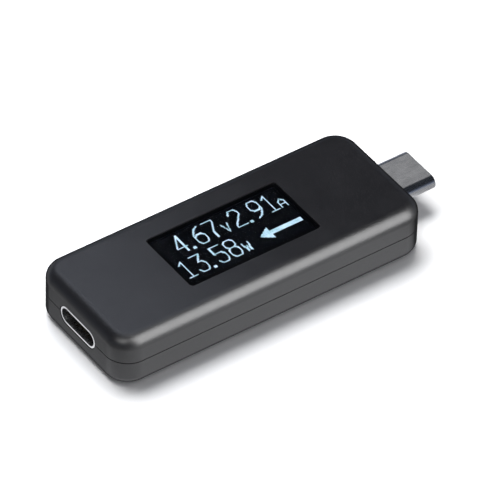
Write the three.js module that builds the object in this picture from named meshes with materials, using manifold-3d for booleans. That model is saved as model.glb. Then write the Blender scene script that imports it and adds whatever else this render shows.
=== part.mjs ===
/*
 * Inline USB Type-C power meter.
 *
 * A flat, rounded housing of two covers holds a circuit board with an OLED read-out behind a
 * flush window. A Type-C plug stands out of one end and a Type-C socket opens at the other.
 *
 * Millimetres, +Z up. The origin is the centre of the housing's flat underside, and +X points
 * out of the plug.
 */
import * as THREE from 'three';
import { mergeVertices } from 'three/addons/utils/BufferGeometryUtils.js';
import Module from 'manifold-3d';

const wasm = await Module();
wasm.setup();

// ---------------------------------------------------------------- driving dimensions

// Clearances
const FIT = 0.1; // between pieces that are assembled together
const SOLDER = 0.04; // thickness of a soldered or glued joint
const GLUE = 0.02; // thickness of a clear glue line
const EXTRA = 0.5; // how far a cutting or joining solid runs past the face it meets

// Housing
const LENGTH = 56;
const WIDTH = 22.5;
const HEIGHT = 9;
const CORNER_R = 4; // plan corners
const TOP_EDGE_R = 2.1;
const BOTTOM_EDGE_R = 1.5;
const CAVITY_EDGE_R = 0.8;
const WALL = 1.2;
const SKIN_STEPS = { corner: 4, edge: 5 }; // facets of the outer rounded corners and edges
const CAVITY_STEPS = { corner: 2, edge: 2 };
const SEAM = 0.12; // open line between the two covers
const LIP_THICKNESS = 0.55; // half-lap joint inside the seam
const LIP_HEIGHT = 0.8;
const END_X = LENGTH / 2;
const MID_Z = HEIGHT / 2; // level of the seam, the board and both connectors
const FLOOR_Z = WALL;
const CEILING_Z = HEIGHT - WALL;
const ROOT = WALL / 3; // how far posts, ribs and hooks run into the wall that they grow from

// Board posts and snap hooks, one at each corner of these rectangles
const POST = { x: 22.5, y: 7.2, r: 1.3, pinR: 0.6, pinClearance: 0.12, sides: 12 };
const HOOK = { x: 17, length: 3, inner: 9.05, outer: 9.85, bottomZ: 2.5, barb: 0.5, barbZ: 3.3 };
const BARB_EDGE = 0.2; // height of a hook's blunt edge

// Ribs inside both covers, over and under the connector shells
const SHELL_RIBS = { width: 6.4, plugX: [25.2, 26], socketX: [-24.2, -23.4] };

// Window in the top face
const WINDOW = { length: 23.4, width: 12, cornerR: 0.6, thickness: 0.35, recess: 0.06 };
const WINDOW_LEDGE = 0.5; // width of the ledge that the window is glued on
const LEDGE_Z = 8.5;
const FENCE = 0.8; // thickness of the ribs round the display panel

// Bottom-emitting OLED panel
const OLED = { length: 24.7, front: 6.9, back: -9.7, topZ: 8.18, thickness: 0.7 };
const OLED_BACK = { back: -5.9, thickness: 0.5 };
const POLARIZER = { length: 22.2, width: 10.8, thickness: 0.18, cornerR: 0.3 };
const DRIVER = { length: 9.2, width: 0.9, thickness: 0.3, y: -7.15 };
const FLEX = { width: 12, thickness: 0.1, bendY: -8.65, panelEndY: -7.8, boardEndY: -4.2 };
const FOAM = { length: 20, front: 6.4, back: -2.2 };

// Circuit board
const BOARD = { width: 17.6, thickness: 1, backX: -26.4, frontX: 24.1, cornerR: 1.4 };
const BOARD_TOP = BOARD.thickness / 2; // above the connectors' centre line

// Type-C contacts, the same in the plug and the socket
const CONTACT = { count: 12, pitch: 0.5, width: 0.25, thickness: 0.12, carrier: 5.9 };
const CONTACT_LIFT = 0.03; // above the board
const GROOVE = CONTACT.width + FIT;

// Type-C plug. Its group's origin is on the housing's end face, and its +X points out.
const PLUG = { width: 8.25, height: 2.4, wall: 0.25, reach: 6.65, back: -3.7 };
const PLUG_EAR = { reach: 2.1, root: 0.3, inner: 3.9, outer: 4.1 }; // tabs soldered to the board
const PLUG_BODY = { back: -3.4, front: 5.9, slotBack: 0.6, slotHalfWidth: 3.4, slotHalf: 0.45 };
const PLUG_CONTACT = { tailX: -5.6, bendX: 2.6, dipX: [3.3, 3.6], tipX: 4.3, dip: 0.38, tip: 0.52 };
const PLUG_CARRIER_X = [-2.2, -1.8];
const LATCH = { back: -2.9, front: 4.6, arm: 0.2, armY: 3.48, half: 0.3, plate: 0.12, web: 0.7 };
const LATCH_HOOK = { x: [3.6, 4, 4.3], depth: 0.28 };
const GROUND_SPRING = { back: 3.6, front: 5.3, half: 2.6, z: 0.78, thickness: 0.1 };
const GROUND_FINGER = { x: [4.8, 4.9], halfWidth: 0.25, z: 0.5, pitch: 1.4, count: 4 };

// Type-C socket. Its group's origin is on the housing's end face, and its +X points out.
const SOCKET = { width: 8.94, height: 3.16, wall: 0.3, mouth: -0.05, back: -7.4 };
const TONGUE = {
  tip: -0.95, root: -6.25, half: 0.35, width: 6.69, stepX: -5.1, stepHalf: 0.6, stepWidth: 6.5,
};
const MID_PLATE = {
  front: -1.3, back: -7.1, half: 0.06, slit: [-0.09, 0.09], slitHalfWidth: 3.4,
};
const MID_PLATE_NOTCH = { x: -3.25, length: 0.7, depth: 0.3 };
const SOCKET_CONTACT = { tipX: -1.5, tailX: -8.8 };
const SOCKET_LEGS = { xs: [-3.15, -6.85], length: 0.9, y: 5.4, thickness: 0.3, reach: 0.8 };
const SOCKET_CARRIER_X = [-6.9, -6.5];

// Board components: body sizes, and reach of the leads or end caps
const MONITOR = { length: 3, width: 3, height: 1, span: 4.9, leads: 5, pitch: 0.5, leadWidth: 0.22 };
const CONTROLLER = {
  length: 6.5, width: 4.4, height: 1, span: 6.4, leads: 10, pitch: 0.65, leadWidth: 0.25,
};
const SIX_LEAD_CHIP = {
  length: 2.9, width: 1.6, height: 1.1, span: 2.8, leads: 3, pitch: 0.95, leadWidth: 0.4,
};
const SHUNT = { length: 6.4, width: 3.2, height: 0.65, cap: 1 };
const LARGE_CAPACITOR = { length: 3.2, width: 1.6, height: 1.6, cap: 0.5 };
const MEDIUM_CAPACITOR = { length: 2, width: 1.25, height: 1.25, cap: 0.4 };
const SMALL_CAPACITOR = { length: 1.6, width: 0.8, height: 0.8, cap: 0.35 };
const SMALL_RESISTOR = { length: 1.6, width: 0.8, height: 0.5, cap: 0.35 };
const DIODE = { length: 4.3, width: 2.6, height: 2.1, standoff: 0.2, draft: 0.15 };
const DIODE_STRAP = { inner: 1.3, outer: 2.5, width: 1.5, height: 1.1, sheet: 0.25, gripX: 2.05 };
const INDUCTOR = { size: 4, height: 1.8, cornerR: 0.6, standoff: 0.15 };
const INDUCTOR_FOOT = { inner: 1.1, outer: 2.02, width: 2.8, height: 0.5 };

// Colour, roughness and metalness of each finish
const FINISHES = {
  housing: { color: 0x17171a, roughness: 0.42, metalness: 0 },
  window: { color: 0x07080a, roughness: 0.08, metalness: 0 },
  adhesive: { color: 0x101010, roughness: 0.8, metalness: 0 },
  glass: { color: 0xb9c6c4, roughness: 0.05, metalness: 0 },
  polarizer: { color: 0x0a0c12, roughness: 0.15, metalness: 0 },
  polyimide: { color: 0x9a5a1c, roughness: 0.35, metalness: 0 },
  foam: { color: 0x2c2c2c, roughness: 0.95, metalness: 0 },
  laminate: { color: 0x123a24, roughness: 0.4, metalness: 0 },
  steel: { color: 0xb8babd, roughness: 0.3, metalness: 1 },
  insulator: { color: 0x121212, roughness: 0.5, metalness: 0 },
  gold: { color: 0xd9b25a, roughness: 0.25, metalness: 1 },
  chip: { color: 0x1b1b1d, roughness: 0.6, metalness: 0 },
  capacitor: { color: 0x9c7b57, roughness: 0.5, metalness: 0 },
  resistor: { color: 0x202124, roughness: 0.4, metalness: 0 },
  ferrite: { color: 0x3a3a3d, roughness: 0.7, metalness: 0 },
};

// ---------------------------------------------------------------- solids

function toSolid(geometry) {
  geometry.deleteAttribute('normal');
  geometry.deleteAttribute('uv');
  const merged = mergeVertices(geometry);
  const mesh = new wasm.Mesh({
    numProp: 3,
    vertProperties: Float32Array.from(merged.attributes.position.array),
    triVerts: Uint32Array.from(merged.index.array),
  });
  return new wasm.Manifold(mesh);
}

function toGeometry(solid) {
  const { vertProperties, triVerts } = solid.getMesh();
  const geometry = new THREE.BufferGeometry();
  geometry.setAttribute('position', new THREE.BufferAttribute(vertProperties, 3));
  geometry.setIndex(new THREE.BufferAttribute(triVerts, 1));
  geometry.computeVertexNormals();
  return geometry;
}

function piece(name, solid, finish) {
  const mesh = new THREE.Mesh(toGeometry(solid), new THREE.MeshStandardMaterial(finish));
  mesh.name = name;
  return mesh;
}

function joined(solids) {
  return solids.reduce((whole, next) => whole.add(next));
}

function block([x0, x1], [y0, y1], [z0, z1]) {
  const geometry = new THREE.BoxGeometry(x1 - x0, y1 - y0, z1 - z0);
  geometry.translate((x0 + x1) / 2, (y0 + y1) / 2, (z0 + z1) / 2);
  return toSolid(geometry);
}

function post(x, y, r, [z0, z1]) {
  const geometry = new THREE.CylinderGeometry(r, r, z1 - z0, POST.sides);
  geometry.rotateX(Math.PI / 2);
  geometry.translate(x, y, (z0 + z1) / 2);
  return toSolid(geometry);
}

function roundedRectangle(length, width, r) {
  const x = length / 2 - r;
  const y = width / 2 - r;
  const shape = new THREE.Shape();
  shape.absarc(x, y, r, 0, Math.PI / 2);
  shape.absarc(-x, y, r, Math.PI / 2, Math.PI);
  shape.absarc(-x, -y, r, Math.PI, 1.5 * Math.PI);
  shape.absarc(x, -y, r, 1.5 * Math.PI, 2 * Math.PI);
  return shape;
}

/** The outline of a Type-C shell: straight top and bottom, half-round ends. */
function stadium(width, height) {
  const r = height / 2;
  const centre = width / 2 - r;
  const shape = new THREE.Shape();
  shape.absarc(centre, 0, r, -Math.PI / 2, Math.PI / 2);
  shape.absarc(-centre, 0, r, Math.PI / 2, 1.5 * Math.PI);
  return shape;
}

function polygon(points) {
  return new THREE.Shape(points.map(([x, y]) => new THREE.Vector2(x, y)));
}

/** A plate from z0 to z1 with the given outline. */
function plate(shape, [z0, z1], curveSegments = 2) {
  const settings = { depth: z1 - z0, bevelEnabled: false, curveSegments };
  const geometry = new THREE.ExtrudeGeometry(shape, settings);
  geometry.translate(0, 0, z0);
  return toSolid(geometry);
}

/** A bar along X, its outline drawn in Y and Z. */
function barX(shape, [x0, x1], curveSegments = 4) {
  const settings = { depth: x1 - x0, bevelEnabled: false, curveSegments };
  const geometry = new THREE.ExtrudeGeometry(shape, settings);
  geometry.rotateX(Math.PI / 2);
  geometry.rotateZ(Math.PI / 2);
  geometry.translate(x0, 0, 0);
  return toSolid(geometry);
}

/** A bar along Y, its outline drawn in X and Z. */
function barY(shape, [y0, y1]) {
  const settings = { depth: y1 - y0, bevelEnabled: false };
  const geometry = new THREE.ExtrudeGeometry(shape, settings);
  geometry.rotateX(Math.PI / 2);
  geometry.translate(0, y1, 0);
  return toSolid(geometry);
}

/** The housing's block, shrunk by inset on every side, with its top and bottom edges rounded. */
function roundedBox(inset, edgeR, steps) {
  const shrink = 2 * (inset + edgeR);
  const corner = CORNER_R - inset - edgeR;
  const outline = roundedRectangle(LENGTH - shrink, WIDTH - shrink, corner);
  const geometry = new THREE.ExtrudeGeometry(outline, {
    depth: HEIGHT - shrink,
    bevelEnabled: true,
    bevelThickness: edgeR,
    bevelSize: edgeR,
    bevelSegments: steps.edge,
    curveSegments: steps.corner,
  });
  geometry.translate(0, 0, inset + edgeR);
  return toSolid(geometry);
}

function insetPlate(inset, [z0, z1]) {
  const outline = roundedRectangle(LENGTH - 2 * inset, WIDTH - 2 * inset, CORNER_R - inset);
  return plate(outline, [z0, z1], 3);
}

function everyCorner(x, y) {
  return [1, -1].flatMap((sx) => [1, -1].map((sy) => [sx * x, sy * y]));
}

// ---------------------------------------------------------------- housing

function coverShell(edgeR, [z0, z1]) {
  return roundedBox(0, edgeR, SKIN_STEPS)
    .subtract(roundedBox(WALL, CAVITY_EDGE_R, CAVITY_STEPS))
    .intersect(block([-LENGTH, LENGTH], [-WIDTH, WIDTH], [z0, z1]));
}

function connectorOpenings() {
  const plug = stadium(PLUG.width + 3 * FIT, PLUG.height + 3 * FIT);
  const socket = stadium(SOCKET.width + 3 * FIT, SOCKET.height + 3 * FIT);
  const inner = END_X - WALL - EXTRA;
  return barX(plug, [inner, END_X + EXTRA])
    .add(barX(socket, [-END_X - EXTRA, -inner]))
    .translate([0, 0, MID_Z]);
}

/** Ribs that grip the two connector shells, on the side of the cover given by its wall level. */
function connectorRibs(wallZ, side) {
  const { width, plugX, socketX } = SHELL_RIBS;
  const ys = [-width / 2, width / 2];
  const plugZ = MID_Z + side * (PLUG.height / 2 + FIT);
  const socketZ = MID_Z + side * (SOCKET.height / 2 + FIT);
  const span = (z) => [Math.min(z, wallZ), Math.max(z, wallZ)];
  return block(plugX, ys, span(plugZ)).add(block(socketX, ys, span(socketZ)));
}

function lip(clearance) {
  const top = MID_Z + LIP_HEIGHT + clearance;
  const outer = insetPlate(WALL - LIP_THICKNESS - clearance, [MID_Z - SEAM, top]);
  return outer.subtract(insetPlate(WALL + clearance, [MID_Z - EXTRA, top + EXTRA]));
}

function snapHook(x, side) {
  const { inner, outer, bottomZ, barb, barbZ, length } = HOOK;
  const outline = polygon([
    [inner, CEILING_Z + ROOT],
    [inner, bottomZ],
    [outer, bottomZ],
    [outer + barb, barbZ - BARB_EDGE],
    [outer + barb, barbZ],
    [outer, barbZ],
    [outer, CEILING_Z + ROOT],
  ]);
  const hook = barX(outline, [x - length / 2, x + length / 2]);
  return side > 0 ? hook : hook.mirror([0, 1, 0]);
}

function snapRecess(x, side) {
  const { outer, barb, bottomZ, barbZ, length } = HOOK;
  const half = length / 2 + 2 * FIT;
  const ys = [WIDTH / 2 - WALL - FIT, outer + barb + FIT].map((y) => side * y);
  ys.sort((a, b) => a - b);
  return block([x - half, x + half], ys, [bottomZ - FIT, barbZ + FIT]);
}

/** Ribs around three sides of the OLED panel. */
function displayFence() {
  const z = [OLED.topZ - OLED.thickness - OLED_BACK.thickness, CEILING_Z + ROOT];
  const half = OLED.length / 2 + 2 * FIT;
  const front = OLED.front + 2 * FIT;
  const end = block([half, half + FENCE], [OLED.back + 4 * FIT, front + FENCE], z);
  const side = block([-half, half], [front, front + FENCE], z);
  return joined([end, end.mirror([1, 0, 0]), side]);
}

/** The recess in the ceiling that the front glass lies in. */
function glassRecess() {
  const half = OLED.length / 2 + 2 * FIT;
  const ys = [OLED.back - 2 * FIT, OLED.front + 2 * FIT];
  return block([-half, half], ys, [OLED.topZ - OLED.thickness - FIT, OLED.topZ + GLUE]);
}

function topCover() {
  const { length, width, cornerR } = WINDOW;
  const pocket = roundedRectangle(length + 2 * FIT, width + 2 * FIT, cornerR);
  const view = roundedRectangle(length - 2 * WINDOW_LEDGE, width - 2 * WINDOW_LEDGE, cornerR);
  const postZ = [MID_Z + BOARD_TOP + FIT, CEILING_Z + ROOT];
  return joined([
    coverShell(TOP_EDGE_R, [MID_Z + SEAM / 2, HEIGHT + EXTRA]).subtract(lip(FIT)),
    ...everyCorner(POST.x, POST.y).map(([x, y]) => post(x, y, POST.r, postZ)),
    ...everyCorner(HOOK.x, 1).map(([x, side]) => snapHook(x, side)),
    displayFence(),
    connectorRibs(CEILING_Z + ROOT, 1),
  ])
    .subtract(plate(pocket, [LEDGE_Z, HEIGHT + EXTRA]))
    .subtract(plate(view, [CEILING_Z - EXTRA, LEDGE_Z + EXTRA]))
    .subtract(glassRecess())
    .subtract(connectorOpenings());
}

function bottomCover() {
  const restZ = MID_Z - BOARD_TOP - FIT;
  const pinZ = MID_Z + BOARD_TOP - FIT;
  const wallZ = FLOOR_Z - ROOT;
  const corners = everyCorner(POST.x, POST.y);
  const shell = joined([
    coverShell(BOTTOM_EDGE_R, [-EXTRA, MID_Z - SEAM / 2]),
    lip(0),
    ...corners.map(([x, y]) => post(x, y, POST.r, [wallZ, restZ])),
    ...corners.map(([x, y]) => post(x, y, POST.pinR, [wallZ, pinZ])),
    connectorRibs(wallZ, -1),
  ]);
  return everyCorner(HOOK.x, 1)
    .reduce((cover, [x, side]) => cover.subtract(snapRecess(x, side)), shell)
    .subtract(connectorOpenings());
}

// ---------------------------------------------------------------- display

function displayWindow() {
  const top = HEIGHT - WINDOW.recess;
  const outline = roundedRectangle(WINDOW.length, WINDOW.width, WINDOW.cornerR);
  return plate(outline, [top - WINDOW.thickness, top]);
}

function windowAdhesive() {
  const inner = WINDOW_LEDGE - FIT;
  const z = [LEDGE_Z + GLUE, HEIGHT - WINDOW.recess - WINDOW.thickness - GLUE];
  const frame = (cut) => {
    const length = WINDOW.length - 2 * cut;
    return roundedRectangle(length, WINDOW.width - 2 * cut, WINDOW.cornerR - FIT);
  };
  return plate(frame(FIT), z).subtract(plate(frame(inner), [z[0] - EXTRA, z[1] + EXTRA]));
}

function oledPolarizer() {
  const { length, width, thickness, cornerR } = POLARIZER;
  const z = OLED.topZ + GLUE;
  return plate(roundedRectangle(length, width, cornerR), [z, z + thickness]);
}

function oledFrontGlass() {
  const { length, front, back, topZ, thickness } = OLED;
  return block([-length / 2, length / 2], [back, front], [topZ - thickness, topZ]);
}

function oledBackGlass() {
  const top = OLED.topZ - OLED.thickness - GLUE;
  const half = OLED.length / 2;
  return block([-half, half], [OLED_BACK.back, OLED.front], [top - OLED_BACK.thickness, top]);
}

function oledDriverChip() {
  const { length, width, thickness, y } = DRIVER;
  const top = OLED.topZ - OLED.thickness - GLUE;
  const half = length / 2;
  return block([-half, half], [y - width / 2, y + width / 2], [top - thickness, top]);
}

/** The flexible tail leaves the ledge of the front glass and bends back onto the board. */
function oledFlexCable() {
  const { width, thickness, bendY, panelEndY, boardEndY } = FLEX;
  const top = OLED.topZ - OLED.thickness - SOLDER;
  const bottom = MID_Z + BOARD_TOP + SOLDER;
  const centreZ = (top + bottom) / 2;
  const outerR = (top - bottom) / 2;
  const innerR = outerR - thickness;
  const outline = new THREE.Shape();
  outline.moveTo(panelEndY, centreZ + outerR);
  outline.absarc(bendY, centreZ, outerR, Math.PI / 2, 1.5 * Math.PI);
  outline.lineTo(boardEndY, centreZ - outerR);
  outline.lineTo(boardEndY, centreZ - innerR);
  outline.absarc(bendY, centreZ, innerR, 1.5 * Math.PI, Math.PI / 2, true);
  outline.lineTo(panelEndY, centreZ + innerR);
  return barX(outline, [-width / 2, width / 2], 6);
}

function displayFoamPad() {
  const { length, front, back } = FOAM;
  const bottom = MID_Z + BOARD_TOP + SOLDER;
  const top = OLED.topZ - OLED.thickness - OLED_BACK.thickness - 2 * SOLDER;
  return block([-length / 2, length / 2], [back, front], [bottom, top]);
}

// ---------------------------------------------------------------- circuit board

/** The bare board, with its middle plane at z = 0. */
function mainBoard() {
  const { width, thickness, backX, frontX, cornerR } = BOARD;
  const half = thickness / 2;
  const through = [-half - EXTRA, half + EXTRA];
  const outline = roundedRectangle(frontX - backX, width, cornerR);
  const board = plate(outline, [-half, half]).translate([(frontX + backX) / 2, 0, 0]);
  const notchEnd = -END_X - SOCKET.back + 2 * FIT;
  const notchHalf = SOCKET.width / 2 + 2 * FIT;
  const earX = [END_X + PLUG.back - PLUG_EAR.reach - 2 * FIT, frontX + EXTRA];
  const earY = [PLUG_EAR.inner - 1.5 * FIT, PLUG_EAR.outer + 1.5 * FIT];
  const earSlot = block(earX, earY, through);
  const cuts = [
    block([backX - EXTRA, notchEnd], [-notchHalf, notchHalf], through),
    earSlot,
    earSlot.mirror([0, 1, 0]),
    ...everyCorner(POST.x, POST.y).map(([x, y]) => {
      return post(x, y, POST.pinR + POST.pinClearance, through);
    }),
    ...SOCKET_LEGS.xs.flatMap((x) => [1, -1].map((side) => legHole(x, side, through))),
  ];
  return cuts.reduce((rest, cut) => rest.subtract(cut), board);
}

function legHole(x, side, z) {
  const { length, y, thickness } = SOCKET_LEGS;
  const halfX = length / 2 + 1.5 * FIT;
  const halfY = thickness / 2 + 1.5 * FIT;
  const centreX = -END_X - x;
  return block([centreX - halfX, centreX + halfX], [side * y - halfY, side * y + halfY], z);
}

/** A chip resistor or capacitor lying on z = 0, with its metal end caps along X. */
function endCapped({ length, width, height, cap }) {
  const skin = 0.03;
  const end = length / 2;
  const body = block([-end, end], [-width / 2 + skin, width / 2 - skin], [skin, height - skin]);
  const terminal = block([end - cap, end + skin], [-width / 2, width / 2], [0, height]);
  return joined([body, terminal, terminal.mirror([1, 0, 0])]);
}

/** A moulded chip on z = 0 with gull-wing leads along both of its Y sides. */
function leadedChip({ length, width, height, span, leads, pitch, leadWidth }) {
  const standoff = 0.1;
  const sheet = 0.15;
  const foot = 0.45;
  const middle = height / 2;
  const edge = 0.1;
  const profile = polygon([
    [-width / 2, standoff + edge],
    [-width / 2 + edge, standoff],
    [width / 2 - edge, standoff],
    [width / 2, standoff + edge],
    [width / 2 - edge, height],
    [-width / 2 + edge, height],
  ]);
  const lead = polygon([
    [width / 2 - 2 * edge, middle],
    [span / 2 - foot, middle],
    [span / 2 - foot, 0],
    [span / 2, 0],
    [span / 2, sheet],
    [span / 2 - foot + sheet, sheet],
    [span / 2 - foot + sheet, middle + sheet],
    [width / 2 - 2 * edge, middle + sheet],
  ]);
  const rows = Array.from({ length: leads }, (_, i) => {
    const x = (i - (leads - 1) / 2) * pitch;
    const one = barX(lead, [x - leadWidth / 2, x + leadWidth / 2]);
    return one.add(one.mirror([0, 1, 0]));
  });
  return joined([barX(profile, [-length / 2, length / 2]), ...rows]);
}

/** A moulded diode on z = 0 with strap terminals wrapped under its X ends. */
function strapDiode() {
  const { length, width, height, standoff, draft } = DIODE;
  const { inner, outer, gripX, sheet } = DIODE_STRAP;
  const outline = polygon([
    [-length / 2, standoff],
    [length / 2, standoff],
    [length / 2 - draft, height],
    [-length / 2 + draft, height],
  ]);
  const strap = polygon([
    [inner, 0],
    [outer, 0],
    [outer, DIODE_STRAP.height],
    [gripX, DIODE_STRAP.height],
    [gripX, sheet],
    [inner, sheet],
  ]);
  const end = barY(strap, [-DIODE_STRAP.width / 2, DIODE_STRAP.width / 2]);
  return joined([barY(outline, [-width / 2, width / 2]), end, end.mirror([1, 0, 0])]);
}

/** A shielded power inductor on z = 0. */
function shieldedInductor() {
  const { size, height, cornerR, standoff } = INDUCTOR;
  const { inner, outer, width } = INDUCTOR_FOOT;
  const foot = block([inner, outer], [-width / 2, width / 2], [0, INDUCTOR_FOOT.height]);
  const core = plate(roundedRectangle(size, size, cornerR), [standoff, height]);
  return joined([core, foot, foot.mirror([1, 0, 0])]);
}

// ---------------------------------------------------------------- Type-C contacts

function contactYs() {
  const { count, pitch } = CONTACT;
  return Array.from({ length: count }, (_, i) => (i - (count - 1) / 2) * pitch);
}

/** Twelve contacts with one side profile, joined by the carrier bar they are stamped on. */
function contactRow(profile, [carrierX0, carrierX1], z) {
  const half = CONTACT.width / 2;
  const carrierZ = [z, z + CONTACT.thickness];
  const carrierY = [-CONTACT.carrier / 2, CONTACT.carrier / 2];
  return joined([
    block([carrierX0, carrierX1], carrierY, carrierZ),
    ...contactYs().map((y) => barY(profile, [y - half, y + half])),
  ]);
}

/** Grooves that a contact row lies in, each from z0 to z1. */
function contactGrooves(x, z) {
  return joined(contactYs().map((y) => block(x, [y - GROOVE / 2, y + GROOVE / 2], z)));
}

function bothRows(solid) {
  return solid.add(solid.mirror([0, 0, 1]));
}

// ---------------------------------------------------------------- Type-C plug

function plugShell() {
  const { width, height, wall, reach, back } = PLUG;
  const inner = stadium(width - 2 * wall, height - 2 * wall);
  const tube = barX(stadium(width, height), [back, reach])
    .subtract(barX(inner, [back - EXTRA, reach + EXTRA]));
  const earX = [back - PLUG_EAR.reach, back + PLUG_EAR.root];
  const ear = block(earX, [PLUG_EAR.inner, PLUG_EAR.outer], [-BOARD_TOP, BOARD_TOP]);
  return joined([tube, ear, ear.mirror([0, 1, 0])]);
}

/** The moulding that fills the plug's shell, with the slot that a socket's tongue enters. */
function plugInsulator() {
  const { back, front, slotBack, slotHalfWidth, slotHalf } = PLUG_BODY;
  const width = PLUG.width - 2 * PLUG.wall - FIT;
  const height = PLUG.height - 2 * PLUG.wall - FIT;
  const body = barX(stadium(width, height), [back, front]);
  const slotY = [-slotHalfWidth, slotHalfWidth];
  const slot = block([slotBack, front + EXTRA], slotY, [-slotHalf, slotHalf]);
  return [slot, latchPocket(width), bothRows(plugRowPocket(height))]
    .reduce((rest, cut) => rest.subtract(cut), body);
}

/** Room for the latch spring: a channel at each side and a slit for its web at the back. */
function latchPocket(width) {
  const start = LATCH.back - FIT;
  const half = LATCH.half + FIT / 2;
  const slitHalf = LATCH.plate / 2 + SOLDER;
  const channel = block(
    [start, LATCH.front + 4 * FIT],
    [PLUG_BODY.slotHalfWidth - FIT, width],
    [-half, half],
  );
  const slit = block([start, start + LATCH.web + 2 * FIT], [-width, width], [-slitHalf, slitHalf]);
  return joined([slit, channel, channel.mirror([0, 1, 0])]);
}

/** Room for the upper contacts, their carrier, their sprung tips and the ground spring. */
function plugRowPocket(height) {
  const { slotHalf, back } = PLUG_BODY;
  const { tipX, dipX } = PLUG_CONTACT;
  const top = BOARD_TOP + CONTACT_LIFT + CONTACT.thickness + 0.7 * FIT;
  const carrierX = [PLUG_CARRIER_X[0] - FIT, PLUG_CARRIER_X[1] + FIT];
  const carrierY = CONTACT.carrier / 2 + FIT / 2;
  const springY = [-GROUND_SPRING.half - FIT, GROUND_SPRING.half + FIT];
  const fingerX = [GROUND_FINGER.x[0] - 2 * FIT, GROUND_FINGER.x[1] + 3 * FIT];
  return joined([
    contactGrooves([back - EXTRA, tipX + 4 * FIT], [slotHalf - FIT / 2, top]),
    block(carrierX, [-carrierY, carrierY], [BOARD_TOP - FIT / 10, top - 3 * FIT / 10]),
    block(fingerX, springY, [slotHalf - FIT, top]),
    block([dipX[1] - FIT, GROUND_SPRING.front + FIT], springY, [top - GLUE, height]),
  ]);
}

/** Steel yoke whose two side arms grip the notches in the tongue of a socket. */
function plugLatchSpring() {
  const { back, front, arm, armY, half, plate: sheet, web } = LATCH;
  const { x: hookX, depth } = LATCH_HOOK;
  const side = polygon([
    [back, armY],
    [hookX[0], armY],
    [hookX[1], armY - depth],
    [hookX[2], armY - depth],
    [front, armY],
    [front, armY + arm],
    [back, armY + arm],
  ]);
  const armSolid = plate(side, [-half, half]);
  const reach = armY + arm / 2;
  const webSolid = block([back, back + web], [-reach, reach], [-sheet / 2, sheet / 2]);
  return joined([webSolid, armSolid, armSolid.mirror([0, 1, 0])]);
}

/** The upper row: solder tails over the board, spring tips that dip towards the slot. */
function plugContacts() {
  const { tailX, bendX, dipX, tipX, dip, tip } = PLUG_CONTACT;
  const bottom = BOARD_TOP + CONTACT_LIFT;
  const top = bottom + CONTACT.thickness;
  const profile = polygon([
    [tailX, bottom],
    [bendX, bottom],
    [dipX[0], dip],
    [dipX[1], dip],
    [tipX, tip],
    [tipX, tip + CONTACT.thickness],
    [dipX[1], dip + CONTACT.thickness],
    [dipX[0], dip + CONTACT.thickness],
    [bendX + FIT / 2, top],
    [tailX, top],
  ]);
  return contactRow(profile, PLUG_CARRIER_X, bottom);
}

/** The upper ground spring: a plate under the shell with fingers bent into the slot. */
function plugGroundSpring() {
  const { back, front, half, z, thickness } = GROUND_SPRING;
  const { x, halfWidth, pitch, count } = GROUND_FINGER;
  const sheet = block([back, front], [-half, half], [z, z + thickness]);
  const fingers = Array.from({ length: count }, (_, i) => {
    const y = (i - (count - 1) / 2) * pitch;
    return block(x, [y - halfWidth, y + halfWidth], [GROUND_FINGER.z, z + thickness / 2]);
  });
  return joined([sheet, ...fingers]);
}

// ---------------------------------------------------------------- Type-C socket

function socketShell() {
  const { width, height, wall, mouth, back } = SOCKET;
  const inner = stadium(width - 2 * wall, height - 2 * wall);
  const tube = barX(stadium(width, height), [back, mouth])
    .subtract(barX(inner, [back - EXTRA, mouth + EXTRA]));
  return joined([tube, ...SOCKET_LEGS.xs.flatMap((x) => [1, -1].map((side) => socketLeg(x, side)))]);
}

function socketLeg(x, side) {
  const { length, y, thickness, reach } = SOCKET_LEGS;
  const xs = [x - length / 2, x + length / 2];
  const shellSide = SOCKET.width / 2 - SOCKET.wall - GLUE;
  const top = BOARD_TOP + SOLDER + thickness;
  const tab = block(xs, [shellSide, y + thickness / 2], [BOARD_TOP + SOLDER, top]);
  const leg = block(xs, [y - thickness / 2, y + thickness / 2], [-reach, top]);
  return side > 0 ? tab.add(leg) : tab.add(leg).mirror([0, 1, 0]);
}

/** The block at the back of the socket with its stepped tongue. */
function socketTongue() {
  const { tip, root, half, width, stepX, stepHalf, stepWidth } = TONGUE;
  const shellWidth = SOCKET.width - 2 * SOCKET.wall - FIT;
  const shellHeight = SOCKET.height - 2 * SOCKET.wall - FIT;
  const back = SOCKET.back + FIT / 2;
  const body = joined([
    barX(stadium(shellWidth, shellHeight), [back, root]),
    block([root - FIT, stepX], [-stepWidth / 2, stepWidth / 2], [-stepHalf, stepHalf]),
    block([root - FIT, tip], [-width / 2, width / 2], [-half, half]),
  ]);
  const { front, slit, slitHalfWidth } = MID_PLATE;
  const plateSlit = block([back - EXTRA, front + FIT / 2], [-slitHalfWidth, slitHalfWidth], slit);
  return body.subtract(plateSlit).subtract(bothRows(socketRowPocket(back)));
}

/** Room for the socket's upper contacts and their carrier. */
function socketRowPocket(back) {
  const z = [TONGUE.half - 1.5 * FIT, TONGUE.half + CONTACT_LIFT];
  const carrierX = [SOCKET_CARRIER_X[0] - FIT, SOCKET_CARRIER_X[1] + FIT];
  const carrierY = CONTACT.carrier / 2 + FIT / 2;
  const grooves = contactGrooves([back - EXTRA, SOCKET_CONTACT.tipX + 1.5 * FIT], z);
  return grooves.add(block(carrierX, [-carrierY, carrierY], z));
}

function socketMidPlate() {
  const { front, back, half } = MID_PLATE;
  const { x, length, depth } = MID_PLATE_NOTCH;
  const edge = TONGUE.width / 2;
  const notch = block(
    [x - length / 2, x + length / 2],
    [edge - depth, edge + EXTRA],
    [-EXTRA, EXTRA],
  );
  return block([back, front], [-edge, edge], [-half, half])
    .subtract(notch)
    .subtract(notch.mirror([0, 1, 0]));
}

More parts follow.
